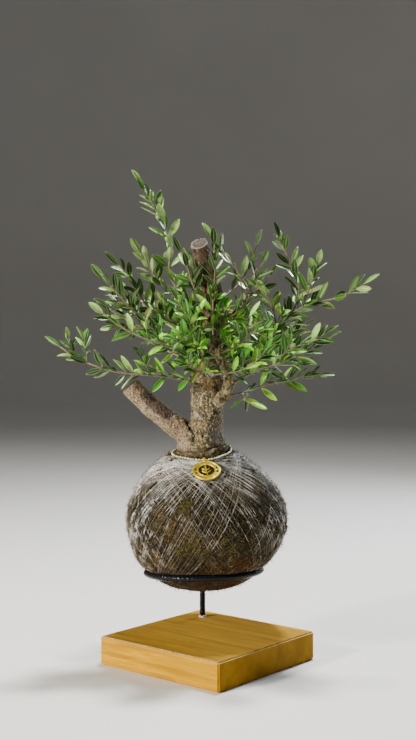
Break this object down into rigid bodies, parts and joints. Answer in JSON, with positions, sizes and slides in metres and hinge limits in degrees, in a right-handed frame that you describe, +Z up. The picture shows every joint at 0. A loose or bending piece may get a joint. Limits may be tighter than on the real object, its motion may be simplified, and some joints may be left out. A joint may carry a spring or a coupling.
{
  "type": "olive bonsai",
  "caption": "Olive bonsai with a thick cut-back trunk and leafy sprays, growing from a thread-bound root ball held in a steel ring on a rod in a wooden block.",
  "frame": {"origin": "centre of the wooden block's underside", "axes": "+Z up, -Y towards the front corner of the block and the side with the medal, +X to the right seen from the front"},
  "size_m": [0.3278, 0.2318, 0.4884],
  "materials": {
    "block_wood": "satin",
    "black_steel": "gloss",
    "dried_glue": "matte",
    "moss_and_soil": "matte",
    "grey_thread": "matte",
    "olive_bark": "matte",
    "olive_leaf": "satin",
    "chain_metal": "polished",
    "medal_gold": "polished"
  },
  "bodies": {
    "root": {"block": "block_wood", "rod": "black_steel", "glue_fillet": "dried_glue", "ring": "black_steel", "root_ball": "moss_and_soil", "thread_wrap": "grey_thread", "trunk": "olive_bark", "bead_chain": "chain_metal", "medal": "medal_gold", "spray_front_leader": "olive_leaf", "spray_spur": "olive_leaf", "spray_right_long": "olive_leaf", "spray_right_low": "olive_leaf", "spray_right_lowest": "olive_leaf", "spray_left_long": "olive_leaf", "spray_left_a": "olive_leaf", "spray_left_b": "olive_leaf", "spray_left_c": "olive_leaf", "spray_left_d": "olive_leaf", "spray_top_left": "olive_leaf", "spray_top_centre": "olive_leaf", "spray_front_a": "olive_leaf", "spray_front_b": "olive_leaf", "spray_front_c": "olive_leaf", "spray_front_d": "olive_leaf", "spray_front_e": "olive_leaf", "spray_back_a": "olive_leaf", "spray_back_b": "olive_leaf", "spray_back_c": "olive_leaf", "spray_back_d": "olive_leaf", "spray_back_e": "olive_leaf", "spray_back_f": "olive_leaf", "spray_back_g": "olive_leaf", "spray_back_h": "olive_leaf"}
  },
  "joints": []
}
